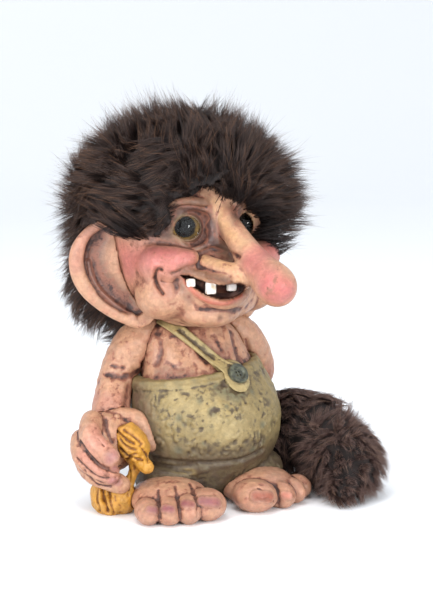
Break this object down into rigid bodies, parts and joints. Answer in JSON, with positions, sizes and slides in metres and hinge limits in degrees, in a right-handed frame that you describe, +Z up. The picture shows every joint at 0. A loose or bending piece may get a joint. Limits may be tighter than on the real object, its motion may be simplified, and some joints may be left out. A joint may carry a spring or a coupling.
{
  "type": "folk troll figure",
  "caption": "Sitting folk troll figure with big ears, long drooping nose, fur wig, dungarees, bare feet, a stick in its fist and a bushy tail that swings out from the hip.",
  "frame": {"origin": "on the ground, in the middle of the whole figure's outline seen from above", "axes": "+Z up, the figure faces -Y with its head turned ten degrees to its left, and its right side is at -X"},
  "size_m": [0.1408, 0.1231, 0.167],
  "materials": {
    "skin": "hand-painted casting, ochre and pink with a brown wash in the hollows",
    "cloth": "painted casting, olive and khaki with stamped pits",
    "button": "painted dark brown",
    "stick": "painted casting of a knotted root, ochre yellow with brown creases",
    "glass": "clear, polished",
    "iris": "painted black pupil with an olive amber ring",
    "tooth": "painted white, slightly glossy",
    "backing": "dark woven backing of the fur",
    "fur": "long dark brown pile with lighter brown tips",
    "tail_fur": "long brown pile, a little lighter than the wig"
  },
  "bodies": {
    "figure": {"head": "skin", "right_ear": "skin", "left_ear": "skin", "torso": "skin", "right_arm": "skin", "right_hand": "skin", "left_arm": "skin", "left_hand": "skin", "right_foot": "skin", "left_foot": "skin", "dungarees": "cloth", "strap": "cloth", "button": "button", "stick": "stick", "right_eye": "glass", "left_eye": "glass", "right_iris": "iris", "left_iris": "iris", "right_tooth": "tooth", "middle_tooth": "tooth", "left_tooth": "tooth", "wig_backing": "backing", "wig_fur": "fur"},
    "tail": {"tail_core": "backing", "tail_fur": "tail_fur"}
  },
  "joints": [
    {"name": "tail_swing", "type": "hinge", "parent": "figure", "child": "tail", "pos_m": [0.0186, 0.0186, 0.018], "axis": [0, 0, 1], "range_deg": [0, 40]}
  ]
}
